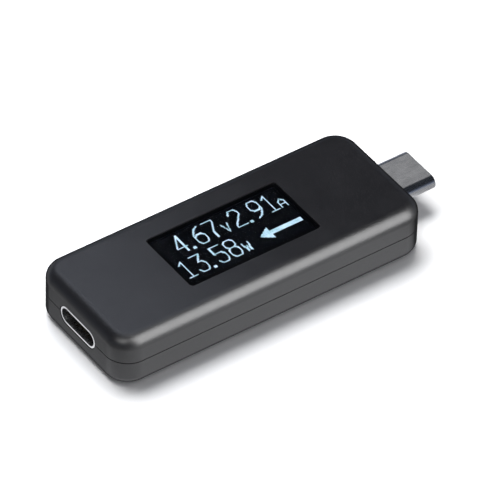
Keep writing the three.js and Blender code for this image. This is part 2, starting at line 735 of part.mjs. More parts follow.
/** The upper row: strips flush with the tongue, stepped up behind it to feet on the board. */
function socketContacts() {
  const { tipX, tailX } = SOCKET_CONTACT;
  const surface = TONGUE.half;
  const bottom = surface - CONTACT.thickness;
  const foot = BOARD_TOP + CONTACT_LIFT;
  const footTop = foot + CONTACT.thickness;
  const riser = SOCKET.back - CONTACT_LIFT;
  const profile = polygon([
    [tipX, bottom],
    [tipX, surface],
    [riser, surface],
    [riser, footTop],
    [tailX, footTop],
    [tailX, foot],
    [riser - CONTACT.thickness, foot],
    [riser - CONTACT.thickness, bottom],
  ]);
  return contactRow(profile, SOCKET_CARRIER_X, bottom);
}

// ---------------------------------------------------------------- assembly

function housingAndDisplay() {
  const group = new THREE.Group();
  group.add(
    piece('top_cover', topCover(), FINISHES.housing),
    piece('bottom_cover', bottomCover(), FINISHES.housing),
    piece('display_window', displayWindow(), FINISHES.window),
    piece('window_adhesive', windowAdhesive(), FINISHES.adhesive),
    piece('oled_polarizer', oledPolarizer(), FINISHES.polarizer),
    piece('oled_front_glass', oledFrontGlass(), FINISHES.glass),
    piece('oled_back_glass', oledBackGlass(), FINISHES.glass),
    piece('oled_driver_chip', oledDriverChip(), FINISHES.chip),
    piece('oled_flex_cable', oledFlexCable(), FINISHES.polyimide),
    piece('display_foam_pad', displayFoamPad(), FINISHES.foam),
  );
  return group;
}

function plugAssembly() {
  const contacts = plugContacts();
  const spring = plugGroundSpring();
  const group = new THREE.Group();
  group.add(
    piece('plug_shell', plugShell(), FINISHES.steel),
    piece('plug_insulator', plugInsulator(), FINISHES.insulator),
    piece('plug_latch_spring', plugLatchSpring(), FINISHES.steel),
    piece('plug_upper_contacts', contacts, FINISHES.gold),
    piece('plug_lower_contacts', contacts.mirror([0, 0, 1]), FINISHES.gold),
    piece('plug_upper_ground_spring', spring, FINISHES.steel),
    piece('plug_lower_ground_spring', spring.mirror([0, 0, 1]), FINISHES.steel),
  );
  group.position.set(END_X, 0, MID_Z);
  return group;
}

function socketAssembly() {
  const contacts = socketContacts();
  const group = new THREE.Group();
  group.add(
    piece('socket_shell', socketShell(), FINISHES.steel),
    piece('socket_tongue', socketTongue(), FINISHES.insulator),
    piece('socket_mid_plate', socketMidPlate(), FINISHES.steel),
    piece('socket_upper_contacts', contacts, FINISHES.gold),
    piece('socket_lower_contacts', contacts.mirror([0, 0, 1]), FINISHES.gold),
  );
  group.position.set(-END_X, 0, MID_Z);
  group.rotation.z = Math.PI;
  return group;
}

/** Puts a component on the group's surface, turned a quarter when it stands across the board. */
function mounted(group, name, solid, finish, [x, y], across = false) {
  const mesh = piece(name, solid, finish);
  mesh.position.set(x, y, 0);
  mesh.rotation.z = across ? Math.PI / 2 : 0;
  group.add(mesh);
}

function boardTopSide() {
  const side = new THREE.Group();
  const { chip, capacitor } = FINISHES;
  mounted(side, 'data_line_esd_array', leadedChip(SIX_LEAD_CHIP), chip, [18.4, 0]);
  [-5, -7].forEach((y, i) => {
    const small = endCapped(SMALL_CAPACITOR);
    mounted(side, `display_capacitor_${i + 1}`, small, capacitor, [9, y]);
  });
  side.position.z = BOARD_TOP + SOLDER;
  return side;
}

function boardUnderside() {
  const side = new THREE.Group();
  const { chip, capacitor, resistor, ferrite } = FINISHES;
  mounted(side, 'shunt_resistor', endCapped(SHUNT), resistor, [-12.5, 0]);
  mounted(side, 'current_monitor_chip', leadedChip(MONITOR), chip, [-12.5, 5.3]);
  mounted(side, 'microcontroller', leadedChip(CONTROLLER), chip, [-1.5, 3.2]);
  mounted(side, 'buck_regulator', leadedChip(SIX_LEAD_CHIP), chip, [5, 5.2]);
  mounted(side, 'power_inductor', shieldedInductor(), ferrite, [9.8, 4.6]);
  mounted(side, 'tvs_diode', strapDiode(), chip, [-17.4, -6.2]);
  [5, 9.5].forEach((x, i) => {
    const large = endCapped(LARGE_CAPACITOR);
    mounted(side, `input_capacitor_${i + 1}`, large, capacitor, [x, -4.5]);
  });
  [14, 16].forEach((x, i) => {
    const medium = endCapped(MEDIUM_CAPACITOR);
    mounted(side, `output_capacitor_${i + 1}`, medium, capacitor, [x, 4.6], true);
  });
  [-2.5, -4.2].forEach((y, i) => {
    const small = endCapped(SMALL_RESISTOR);
    mounted(side, `divider_resistor_${i + 1}`, small, resistor, [-1.5, y]);
  });
  side.position.z = -BOARD_TOP - SOLDER;
  side.rotation.x = Math.PI;
  return side;
}

function boardAssembly() {
  const group = new THREE.Group();
  const board = piece('main_board', mainBoard(), FINISHES.laminate);
  group.add(board, boardTopSide(), boardUnderside());
  group.position.z = MID_Z;
  return group;
}

const powerMeter = new THREE.Group();
powerMeter.name = 'usb_power_meter';
powerMeter.add(housingAndDisplay(), plugAssembly(), socketAssembly(), boardAssembly());

export default powerMeter;
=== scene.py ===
"""The looks of an inline USB Type-C power meter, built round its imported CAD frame. Metres, +Z up."""
import math

import bmesh
import bpy
from mathutils import Matrix, Vector


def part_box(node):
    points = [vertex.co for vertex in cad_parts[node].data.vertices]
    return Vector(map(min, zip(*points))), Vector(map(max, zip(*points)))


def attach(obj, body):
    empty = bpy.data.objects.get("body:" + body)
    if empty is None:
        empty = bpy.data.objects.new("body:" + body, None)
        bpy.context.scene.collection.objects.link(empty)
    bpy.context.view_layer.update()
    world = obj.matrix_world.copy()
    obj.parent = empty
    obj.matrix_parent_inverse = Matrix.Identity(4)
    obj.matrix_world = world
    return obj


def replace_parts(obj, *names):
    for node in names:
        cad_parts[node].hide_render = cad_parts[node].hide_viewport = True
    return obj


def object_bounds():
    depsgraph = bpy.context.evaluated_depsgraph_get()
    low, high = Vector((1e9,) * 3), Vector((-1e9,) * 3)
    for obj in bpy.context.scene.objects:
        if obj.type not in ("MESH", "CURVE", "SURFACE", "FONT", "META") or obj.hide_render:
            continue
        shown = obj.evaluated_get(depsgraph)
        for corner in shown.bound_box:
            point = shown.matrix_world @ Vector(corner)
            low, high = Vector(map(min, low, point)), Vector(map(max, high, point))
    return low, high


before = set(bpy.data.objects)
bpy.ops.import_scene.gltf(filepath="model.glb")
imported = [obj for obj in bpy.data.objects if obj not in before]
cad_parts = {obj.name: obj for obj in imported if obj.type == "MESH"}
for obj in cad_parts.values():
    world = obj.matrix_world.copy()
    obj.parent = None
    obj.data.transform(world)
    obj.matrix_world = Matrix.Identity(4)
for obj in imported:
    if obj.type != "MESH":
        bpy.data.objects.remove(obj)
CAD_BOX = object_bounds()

MM = 0.001

# ---------------------------------------------------------------- places, read from the frame

TOP_LOW, TOP_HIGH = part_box("top_cover")
BOTTOM_LOW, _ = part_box("bottom_cover")
WINDOW_LOW, WINDOW_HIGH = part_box("display_window")
_, POLARIZER_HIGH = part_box("oled_polarizer")
_, PLUG_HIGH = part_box("plug_shell")
SOCKET_LOW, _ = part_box("socket_shell")
HOUSING_LOW = Vector((TOP_LOW.x, TOP_LOW.y, BOTTOM_LOW.z))
HOUSING_HIGH = TOP_HIGH.copy()
HOUSING_CENTRE = (HOUSING_LOW + HOUSING_HIGH) / 2
MID_Z = HOUSING_CENTRE.z

# ---------------------------------------------------------------- shape of the moulded parts

PLAN_CORNER = 4 * MM
TOP_EDGE = 2.1 * MM
BOTTOM_EDGE = 1.5 * MM
PLUG_SIZE = (8.25 * MM, 2.4 * MM)
PLUG_WALL = 0.25 * MM
SOCKET_SIZE = (8.94 * MM, 3.16 * MM)
SOCKET_WALL = 0.3 * MM
OPENING_GAP = 0.3 * MM  # how much wider the housing's openings are than the shells
COVER_RIM_ROUND = 0.07 * MM
WINDOW_RIM_ROUND = 0.06 * MM
PLUG_RIM_ROUND = 0.09 * MM
SOCKET_RIM_ROUND = 0.1 * MM
MOULDING_ROUND = 0.03 * MM
ROUND_STEPS = 2

WELD = 0.001 * MM
FLAT_ANGLE = math.radians(0.6)  # facets that differ by less are one flat face
SHARP_ANGLE = math.radians(38)
SMOOTH_ANGLE = math.radians(50)  # faces that meet at less share their shading
ON_SURFACE = 0.03 * MM
CHORD_SAG = 0.0015 * MM  # a facet's edge that sinks deeper than this is split
LARGEST_SAG = 0.3 * MM
REFINE_ROUNDS = 4
SAME_FACING = 0.95  # cosine from which a face lies along a curved surface
END_WALL = 2 * MM  # how far in from the housing's ends its openings are refined

# ---------------------------------------------------------------- read-out

DOT_PITCH = 0.17 * MM
DOT = 0.152 * MM
DOT_HEIGHT = 0.012 * MM

# The rest are in dots, from the window's left and lower edges.
PANEL_ROWS = 64
DIGIT_SIZE = (11, 23)
DIGIT_STEP = 14  # from one digit's left side to the next
UNIT_SIZE = (7, 12)
POINT_SIZE = (5, 5)
POINT_STEP = 7
POINT_OVERHANG = 2  # how far a point's box starts before its place in the row
STROKE = 0.75  # half a stroke's width
UNIT_STROKE = 0.6
POINT_STROKE = 1.5
ROW_BASES = (41, 11)
UPPER_ROW = (("4.67", 18), ("2.91", 79))
LOWER_ROW = (("13.58", 5),)
UPPER_UNITS = (("V", 67), ("A", 126))
LOWER_UNITS = (("W", 68),)
ARROW = {"tip": 88, "tail": 132, "axis": 20, "half": 2.8, "head": 11, "head_half": 7.5}

# ---------------------------------------------------------------- inner parts

CONTACT_ROWS = (
    "plug_upper_contacts",
    "plug_lower_contacts",
    "socket_upper_contacts",
    "socket_lower_contacts",
)
STEEL_STRIPS = (
    "plug_latch_spring",
    "plug_upper_ground_spring",
    "plug_lower_ground_spring",
    "socket_mid_plate",
)

CAPACITORS = (  # node, the axis its ends are on, length of one tinned end
    ("input_capacitor_1", "X", 0.5 * MM),
    ("input_capacitor_2", "X", 0.5 * MM),
    ("output_capacitor_1", "Y", 0.4 * MM),
    ("output_capacitor_2", "Y", 0.4 * MM),
    ("display_capacitor_1", "X", 0.35 * MM),
    ("display_capacitor_2", "X", 0.35 * MM),
)
RESISTORS = (
    ("shunt_resistor", "X", 1.0 * MM),
    ("divider_resistor_1", "X", 0.35 * MM),
    ("divider_resistor_2", "X", 0.35 * MM),
)
LEADED = (  # node, the axis its leads stand out on, half the length of its body
    ("current_monitor_chip", "Y", 1.5 * MM),
    ("microcontroller", "Y", 2.2 * MM),
    ("buck_regulator", "Y", 0.8 * MM),
    ("data_line_esd_array", "Y", 0.8 * MM),
    ("tvs_diode", "X", 2.15 * MM),
)

# ---------------------------------------------------------------- camera, in the part's frame

CAMERA_AZIMUTH = -36.06
CAMERA_ELEVATION = 42.6
CAMERA_ROLL = 1.5
CAMERA_DISTANCE = 0.964
FRAME_FILL = 0.86
SENSOR = 36.0
CLIP = (0.01, 50.0)

# ---------------------------------------------------------------- light, as radiance

PALE = (0.96, 0.97, 1.0, 1.0)
ROOM_LIGHT = 0.3
BACKDROP = 0.97
FLOOR_HALF_WIDTH = 6.0
FLOOR_GAP = 0.02 * MM  # how far below the object the floor lies
FLOOR_FADE = (0.12, 0.6)  # how far from the object the floor fades into the backdrop, in metres
HORIZON_GLOSS = 0.5
OVERHEAD_GLOSS = 0.03
OVERHEAD_HEIGHT = 0.45  # sine of the elevation from which the sky counts as overhead
# The floor's glow in reflections is painted light: a painted reflection beside the housing, dimmed to
# painted shade past either end.
PAINTED_FLOOR_REFLECTION = (0.5, 1.5)  # past either end, and beside the housing
PAINTED_SHADE_SPAN_PAST_SOCKET = 12 * MM  # over which the floor dims past the socket

SOFTBOXES = (  # name, direction from the housing, distance, size, radiance, which rays see it
    ("back_softbox", (0.05, 0.42, 0.91), 1.0, (0.80, 0.55), 11.5, "matt"),
    ("front_softbox", (0.41, -0.70, 0.587), 0.8, (0.75, 1.0), 10.8, "glossy"),
    ("left_softbox", (-0.62, -0.33, 0.66), 0.8, (0.32, 0.32), 9.0, "glossy"),
)
SKY_CARD = {"height": 0.05, "size": (0.05, 0.10), "radiance": 1.6, "colour": (0.80, 0.86, 1.0)}
SKY_CARD_OFFSET = 28 * MM  # how far past the window's socket side it is mirrored
PLUG_CARD = {"height": 0.03, "size": (0.03, 0.02), "radiance": 0.5, "colour": (1.0, 1.0, 1.0)}


# ================================================================ distance fields

def rounded_block(low, high, corner, edge):
    """Distance and outward normal of a block with round plan corners and round top and bottom edges."""
    centre = (low + high) / 2
    half = (high - low) / 2

    def field(point):
        p = point - centre
        sx, sy, sz = (math.copysign(1, value) for value in p)
        qx = abs(p.x) - (half.x - corner)
        qy = abs(p.y) - (half.y - corner)
        if qx > 0 and qy > 0:
            reach = math.hypot(qx, qy)
            plan = reach - (corner - edge)
            across = Vector((sx * qx / reach, sy * qy / reach, 0))
        elif qx > qy:
            plan = qx - (corner - edge)
            across = Vector((sx, 0, 0))
        else:
            plan = qy - (corner - edge)
            across = Vector((0, sy, 0))
        rise = abs(p.z) - (half.z - edge)
        up = Vector((0, 0, sz))
        if plan > 0 and rise > 0:
            reach = math.hypot(plan, rise)
            return reach - edge, (across * plan + up * rise) / reach
        if plan > rise:
            return plan - edge, across
        return rise - edge, up

    return field


def stadium_bar(size, side=1):
    """Distance and normal of a Type-C outline run along X at mid height. side is -1 for a hole."""
    radius = size[1] / 2
    straight = size[0] / 2 - radius

    def field(point):
        y = abs(point.y) - straight
        z = point.z - MID_Z
        if y > 0:
            reach = max(math.hypot(y, z), 1e-9)
            normal = Vector((0, math.copysign(y, point.y) / reach, z / reach))
            return side * (reach - radius), side * normal
        return side * (abs(z) - radius), side * Vector((0, 0, math.copysign(1, z)))

    return field


def limited(field, inside):
    """The field where inside is true, and far from any surface elsewhere."""
    def restricted(point):
        distance, normal = field(point)
        return (distance if inside(point) else 1.0), normal

    return restricted


# ================================================================ mesh work

def mesh_object(name, mesh, material):
    obj = bpy.data.objects.new(name, mesh)
    bpy.context.scene.collection.objects.link(obj)
    mesh.materials.clear()
    mesh.materials.append(material)
    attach(obj, "root")
    return obj


def sharp_edges(bm, wanted):
    return [
        edge for edge in bm.edges
        if len(edge.link_faces) == 2
        and edge.calc_face_angle(0) > SHARP_ANGLE
        and wanted(edge.verts[0].co)
        and wanted(edge.verts[1].co)
    ]


def soften(bm, width, wanted):
    """Rounds the sharp edges whose ends are both wanted."""
    edges = sharp_edges(bm, wanted)
    if edges:
        bmesh.ops.bevel(
            bm, geom=edges, offset=width, offset_type="OFFSET", segments=ROUND_STEPS,
            profile=0.5, affect="EDGES", clamp_overlap=True,
        )


def is_chord(edge, field):
    """True for an edge that cuts straight across a curved surface its ends lie on."""
    a, b = (vert.co for vert in edge.verts)
    if abs(field(a)[0]) > ON_SURFACE or abs(field(b)[0]) > ON_SURFACE:
        return False
    return CHORD_SAG < abs(field((a + b) / 2)[0]) < LARGEST_SAG


def refine(bm, field):
    """Splits the facets of a curved surface and puts the new points on it."""
    for _ in range(REFINE_ROUNDS):
        coarse = [edge for edge in bm.edges if is_chord(edge, field)]
        if not coarse:
            return
        made = bmesh.ops.subdivide_edges(bm, edges=coarse, cuts=1, use_grid_fill=True)
        for vert in (item for item in made["geom_inner"] if isinstance(item, bmesh.types.BMVert)):
            distance, normal = field(vert.co)
            if abs(distance) < LARGEST_SAG:
                vert.co -= normal * distance


def weighted_normals(mesh):
    """Corner normals that lean to the larger of the faces that meet smoothly, so flat faces stay flat."""
    around = [[] for _ in mesh.vertices]
    for polygon in mesh.polygons:
        for index in polygon.vertices:
            around[index].append(polygon)
    limit = math.cos(SMOOTH_ANGLE)
    normals = []
    for polygon in mesh.polygons:
        for index in polygon.vertices:
            smooth = [other for other in around[index] if other.normal.dot(polygon.normal) > limit]
            total = sum((other.normal * other.area for other in smooth), Vector())
            normals.append(total.normalized())
    return normals


def shade(mesh, fields):
    """Smooth shading, with each curved surface's own normals."""
    normals = weighted_normals(mesh)
    for polygon in mesh.polygons:
        polygon.use_smooth = True
        for field in fields:
            hits = [field(mesh.vertices[index].co) for index in polygon.vertices]
            facing = polygon.normal.dot(field(polygon.center)[1])
            if facing > SAME_FACING and all(abs(distance) < ON_SURFACE for distance, _ in hits):
                for loop, (_, normal) in zip(polygon.loop_indices, hits):
                    normals[loop] = normal
    mesh.normals_split_custom_set(normals)


def cad_bmesh(node):
    """The CAD node's solid with its shared points merged and its flat faces whole."""
    bm = bmesh.new()
    bm.from_mesh(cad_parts[node].data)
    bmesh.ops.remove_doubles(bm, verts=bm.verts, dist=WELD)
    bmesh.ops.dissolve_limit(
        bm, angle_limit=FLAT_ANGLE, use_dissolve_boundaries=False, verts=bm.verts, edges=bm.edges
    )
    return bm


def everywhere(_):
    return True


def finer(node, name, material, softenings, fields=()):
    """Puts a finely made piece in the CAD node's place, its edges softened and its rounds refined."""
    bm = cad_bmesh(node)
    for width, wanted in softenings:
        soften(bm, width, wanted)
    large = [face for face in bm.faces if len(face.verts) > 4]
    bmesh.ops.triangulate(bm, faces=large)
    for field in fields:
        refine(bm, field)
    bmesh.ops.dissolve_degenerate(bm, dist=WELD, edges=bm.edges)
    bmesh.ops.recalc_face_normals(bm, faces=bm.faces)
    if bm.calc_volume(signed=True) < 0:
        bmesh.ops.reverse_faces(bm, faces=bm.faces)
    mesh = bpy.data.meshes.new(name)
    bm.to_mesh(mesh)
    bm.free()
    shade(mesh, fields)
    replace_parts(mesh_object(name, mesh, material), node)


# ================================================================ material tools

class Shader:
    """A material whose nodes are added one call at a time."""

    def __init__(self, name):
        self.material = bpy.data.materials.new(name)
        self.material.use_nodes = True
        self.tree = self.material.node_tree
        self.tree.nodes.clear()
        self.output = self.tree.nodes.new("ShaderNodeOutputMaterial")
        self.principled = self.tree.nodes.new("ShaderNodeBsdfPrincipled")
        self.link(self.principled.outputs[0], self.output.inputs["Surface"])
        coordinates = self.tree.nodes.new("ShaderNodeTexCoord")
        self.position = coordinates.outputs["Object"]

    def link(self, source, target):
        self.tree.links.new(source, target)

    def put(self, socket, value):
        if isinstance(value, bpy.types.NodeSocket):
            self.link(value, socket)
        else:
            socket.default_value = value

    def set(self, **inputs):
        for name, value in inputs.items():
            self.put(self.principled.inputs[name.replace("_", " ")], value)

    def node(self, kind, output=0, settings=None, **inputs):
        node = self.tree.nodes.new(kind)
        for name, value in (settings or {}).items():
            setattr(node, name, value)
        for name, value in inputs.items():
            self.put(node.inputs[name.replace("_", " ")], value)
        return node.outputs[output]

    def math(self, operation, a, b=0.0, c=0.0):
        node = self.tree.nodes.new("ShaderNodeMath")
        node.operation = operation
        for socket, value in zip(node.inputs, (a, b, c)):
            self.put(socket, value)
        return node.outputs[0]

    def noise(self, size, detail=2.0, roughness=0.5, vector=None):
        """Noise whose features are about size across."""
        return self.node(
            "ShaderNodeTexNoise", Vector=vector or self.position, Scale=1.0 / size,
            Detail=detail, Roughness=roughness,
        )

    def streaks(self, length, width, depth=None, detail=2.0):
        """Noise drawn out along X, with features of the given length, width and depth."""
        scale = (1 / length, 1 / width, 1 / (depth or width))
        stretched = self.node("ShaderNodeMapping", Vector=self.position, Scale=scale)
        return self.noise(1.0, detail=detail, vector=stretched)

    def cells(self, size):
        return self.node("ShaderNodeTexVoronoi", "Distance", Vector=self.position, Scale=1.0 / size)

    def ramp(self, value, low, high, to_low, to_high):
        """value from low..high mapped onto to_low..to_high, and clamped."""
        return self.node(
            "ShaderNodeMapRange", Value=value,
            From_Min=low, From_Max=high, To_Min=to_low, To_Max=to_high,
        )

    def mix(self, factor, a, b):
        """Colour a where the factor is 0 and b where it is 1."""
        node = self.tree.nodes.new("ShaderNodeMix")
        node.data_type = "RGBA"
        inputs = [socket for socket in node.inputs if socket.enabled]
        for socket, value in zip(inputs, (factor, a, b)):
            self.put(socket, value)
        return next(socket for socket in node.outputs if socket.enabled)

    def axis(self, name):
        node = self.tree.nodes.new("ShaderNodeSeparateXYZ")
        self.link(self.position, node.inputs[0])
        return node.outputs[name]

    def past_body(self, node, axis, half):
        """1 on what lies further than half from the middle of the CAD node, along the axis."""
        low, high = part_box(node)
        index = "XYZ".index(axis)
        away = self.math("SUBTRACT", self.axis(axis), (low[index] + high[index]) / 2)
        return self.math("GREATER_THAN", self.math("ABSOLUTE", away), half)

    def bump(self, height, depth):
        self.set(Normal=self.node("ShaderNodeBump", Height=height, Strength=1.0, Distance=depth))

    def glow(self, factor, strength):
        """Puts an even glow over the surface, by the given factor."""
        surface = self.output.inputs["Surface"]
        shown = surface.links[0].from_socket
        mix = self.tree.nodes.new("ShaderNodeMixShader")
        self.link(factor, mix.inputs[0])
        self.link(shown, mix.inputs[1])
        self.link(self.node("ShaderNodeEmission", Color=PALE, Strength=strength), mix.inputs[2])
        self.link(mix.outputs[0], surface)

    def dull_at_a_glance(self, colour, most):
        """A textured face shades its own gloss when it is seen at a low angle."""
        matt = self.node("ShaderNodeBsdfDiffuse", Color=colour)
        mix = self.tree.nodes.new("ShaderNodeMixShader")
        facing = self.node("ShaderNodeLayerWeight", "Facing", Blend=0.5)
        self.link(self.ramp(facing, 0.45, 0.7, 0.0, most), mix.inputs[0])
        self.link(self.principled.outputs[0], mix.inputs[1])
        self.link(matt, mix.inputs[2])
        self.link(mix.outputs[0], self.output.inputs["Surface"])

    def edges(self, radius):
        """1 close to a sharp edge and 0 elsewhere."""
        rounded = self.node("ShaderNodeBevel", settings={"samples": 4}, Radius=radius)
        plain = self.node("ShaderNodeNewGeometry", "Normal")
        product = self.tree.nodes.new("ShaderNodeVectorMath")
        product.operation = "DOT_PRODUCT"
        self.link(rounded, product.inputs[0])
        self.link(plain, product.inputs[1])
        return self.ramp(product.outputs["Value"], 0.8, 0.99, 1.0, 0.0)


def rgb(red, green, blue):
    return (red, green, blue, 1.0)


# ================================================================ materials

CERAMIC = (rgb(0.26, 0.17, 0.09), rgb(0.40, 0.28, 0.16))
COATING = (rgb(0.010, 0.010, 0.012), rgb(0.022, 0.022, 0.026))
SMOKE = rgb(0.62, 0.64, 0.68)  # what one face of the window lets through
PRINT = rgb(0.0015, 0.0015, 0.0018)


def moulded_plastic():
    """Black satin plastic: fine spark texture, faint mottling, and edges polished by handling."""
    s = Shader("moulded_plastic")
    grain = s.noise(0.13 * MM, detail=3.0)
    pits = s.cells(0.18 * MM)
    mottle = s.noise(6 * MM, detail=3.0)
    smudge = s.noise(2.2 * MM, detail=4.0, roughness=0.6)
    worn = s.math("MULTIPLY", s.edges(0.12 * MM), s.ramp(smudge, 0.4, 0.6, 0.2, 1.0))
    tone = s.ramp(mottle, 0.3, 0.7, 0.0, 1.0)
    colour = s.mix(tone, rgb(0.0042, 0.0040, 0.0049), rgb(0.0068, 0.0065, 0.0076))
    rough = s.math("ADD", s.ramp(grain, 0.3, 0.7, 0.36, 0.43), s.ramp(smudge, 0.35, 0.65, -0.015, 0.015))
    s.set(Base_Color=s.mix(worn, colour, rgb(0.030, 0.029, 0.031)))
    s.set(Roughness=s.math("SUBTRACT", rough, s.math("MULTIPLY", worn, 0.12)))
    s.bump(s.math("ADD", grain, s.math("MULTIPLY", pits, 0.5)), 0.011 * MM)
    s.dull_at_a_glance(colour, 0.9)
    return s.material


def smoked_window():
    """Polished smoked acrylic, printed black round its clear middle, with dust and hairline scratches."""
    s = Shader("smoked_window")
    scratches = s.streaks(MM / 0.24, MM / 5.6, depth=250 * MM, detail=1.0)
    dust = s.cells(1.1 * MM)
    rough = s.math("ADD", s.ramp(scratches, 0.62, 0.7, 0.03, 0.07), s.ramp(dust, 0.0, 0.05, 0.04, 0.0))
    above_back = s.math("SUBTRACT", s.axis("Z"), WINDOW_LOW.z)

    def border(axis, clear):
        """1 outside the clear middle, which is narrowest at the window's back."""
        return s.math("GREATER_THAN", s.math("ABSOLUTE", s.axis(axis)), s.math("ADD", above_back, clear))

    printed = s.math("MAXIMUM", border("X", POLARIZER_HIGH.x), border("Y", POLARIZER_HIGH.y))
    s.set(Base_Color=s.mix(printed, SMOKE, PRINT), Roughness=rough, IOR=1.49)
    s.set(Transmission_Weight=s.math("SUBTRACT", 1.0, printed))
    s.bump(scratches, 0.0003 * MM)
    return s.material


def lit_dots():
    """The panel's white dots, a little uneven and slightly cyan."""
    s = Shader("lit_dots")
    uneven = s.noise(1.4 * MM, detail=2.0)
    colour = s.mix(s.ramp(uneven, 0.35, 0.65, 0, 1), rgb(0.44, 0.72, 0.80), rgb(0.66, 0.83, 1.00))
    s.set(Base_Color=rgb(0.02, 0.025, 0.03), Roughness=0.4, Emission_Color=colour)
    s.set(Emission_Strength=s.ramp(uneven, 0.3, 0.7, 1.7, 2.2))
    return s.material


def dark_film():
    """The polarizer: nearly black, with a very faint grid of unlit dots."""
    s = Shader("dark_film")
    x = s.math("PINGPONG", s.math("DIVIDE", s.axis("X"), DOT_PITCH), 0.5)
    y = s.math("PINGPONG", s.math("DIVIDE", s.axis("Y"), DOT_PITCH), 0.5)
    gap = s.math("LESS_THAN", s.math("MINIMUM", x, y), 0.08)
    s.set(Base_Color=s.mix(gap, rgb(0.0010, 0.0016, 0.0036), rgb(0.0005, 0.0008, 0.0018)))
    s.set(Roughness=s.ramp(s.noise(0.4 * MM), 0.3, 0.7, 0.12, 0.18), Specular_IOR_Level=0.05)
    s.bump(gap, -0.0005 * MM)
    return s.material


def shell_steel():
    """Drawn, nickel-plated steel: fine lines along the draw, slight waviness and rub marks."""
    s = Shader("shell_steel")
    lines = s.streaks(0.8 * MM, MM / 75, detail=3.0)
    waves = s.noise(1.6 * MM, detail=2.0)
    rubs = s.streaks(1.25 * MM, MM / 12, detail=1.0)
    colour = s.mix(s.ramp(waves, 0.3, 0.7, 0, 1), rgb(0.50, 0.50, 0.51), rgb(0.62, 0.62, 0.63))
    s.set(Base_Color=colour, Metallic=1.0)
    s.set(Roughness=s.math("ADD", s.ramp(lines, 0.3, 0.7, 0.2, 0.32), s.ramp(rubs, 0.55, 0.7, 0, 0.1)))
    s.bump(s.math("ADD", lines, s.math("MULTIPLY", waves, 0.6)), 0.0015 * MM)
    return s.material


def spring_steel():
    s = Shader("spring_steel")
    grain = s.streaks(0.5 * MM, MM / 30)
    s.set(Base_Color=rgb(0.46, 0.46, 0.47), Metallic=1.0, Roughness=s.ramp(grain, 0.3, 0.7, 0.25, 0.4))
    s.bump(grain, 0.001 * MM)
    return s.material


def contact_gold():
    """Gold over nickel, with wiped streaks along each contact."""
    s = Shader("contact_gold")
    wiped = s.streaks(MM / 1.2, MM / 18)
    colour = s.mix(s.ramp(wiped, 0.35, 0.65, 0, 1), rgb(0.78, 0.50, 0.18), rgb(0.90, 0.66, 0.30))
    s.set(Base_Color=colour, Metallic=1.0, Roughness=s.ramp(wiped, 0.3, 0.7, 0.18, 0.34))
    s.bump(wiped, 0.0008 * MM)
    return s.material


def glass_filled_plastic():
    """Connector insulator: black, glass-filled, with faint flow marks."""
    s = Shader("glass_filled_plastic")
    fibres = s.streaks(MM / 3.75, MM / 32.5)
    flow = s.noise(1.2 * MM, detail=2.0)
    colour = s.mix(s.ramp(flow, 0.3, 0.7, 0, 1), rgb(0.010, 0.010, 0.011), rgb(0.018, 0.018, 0.019))
    s.set(Base_Color=colour)
    s.set(Roughness=s.ramp(fibres, 0.3, 0.7, 0.38, 0.55))
    s.bump(fibres, 0.002 * MM)
    return s.material


def tape():
    s = Shader("adhesive_tape")
    weave = s.noise(0.1 * MM, detail=3.0)
    s.set(Base_Color=rgb(0.008, 0.008, 0.008), Roughness=s.ramp(weave, 0.3, 0.7, 0.7, 0.9))
    s.bump(weave, 0.006 * MM)
    return s.material


def panel_glass():
    s = Shader("panel_glass")
    haze = s.noise(3 * MM, detail=2.0)
    s.set(Base_Color=rgb(0.75, 0.82, 0.8), Roughness=s.ramp(haze, 0.3, 0.7, 0.02, 0.06), IOR=1.52)
    s.set(Transmission_Weight=1.0)
    s.bump(haze, 0.0004 * MM)
    return s.material


def amber_film():
    """Polyimide tail with copper tracks under the film."""
    s = Shader("amber_film")
    across = s.math("PINGPONG", s.math("DIVIDE", s.axis("X"), 0.36 * MM), 0.5)
    track = s.math("LESS_THAN", across, 0.22)
    cloud = s.noise(0.9 * MM, detail=2.0)
    s.set(Base_Color=s.mix(track, rgb(0.36, 0.14, 0.02), rgb(0.52, 0.24, 0.06)))
    s.set(Roughness=s.ramp(cloud, 0.3, 0.7, 0.25, 0.38))
    s.bump(track, 0.004 * MM)
    return s.material


def open_foam():
    s = Shader("open_foam")
    cells = s.cells(0.18 * MM)
    s.set(Base_Color=s.mix(cells, rgb(0.012, 0.012, 0.012), rgb(0.045, 0.045, 0.045)), Roughness=0.95)
    s.bump(cells, 0.05 * MM)
    return s.material


def solder_masked_board():
    """Green solder mask over raised copper tracks and grounds, and a bare laminate edge."""
    s = Shader("solder_masked_board")
    low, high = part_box("main_board")
    tracks = s.node(
        "ShaderNodeTexBrick", "Fac", {"offset": 0.35, "squash": 0.6},
        Vector=s.position, Scale=1 / (6 * MM), Mortar_Size=0.022, Brick_Width=0.9, Row_Height=0.22,
    )
    ground = s.ramp(s.noise(5 * MM, detail=1.0), 0.5, 0.52, 0, 1)
    copper = s.math("MAXIMUM", tracks, ground)
    mask = s.mix(copper, rgb(0.004, 0.045, 0.016), rgb(0.010, 0.085, 0.030))
    face = s.past_body("main_board", "Z", (high.z - low.z) / 2 - 0.03 * MM)
    edge = s.mix(s.noise(0.15 * MM), rgb(0.12, 0.11, 0.05), rgb(0.20, 0.18, 0.09))
    s.set(Base_Color=s.mix(face, edge, mask), Roughness=s.ramp(s.noise(0.6 * MM), 0.3, 0.7, 0.28, 0.42))
    s.bump(copper, 0.02 * MM)
    return s.material


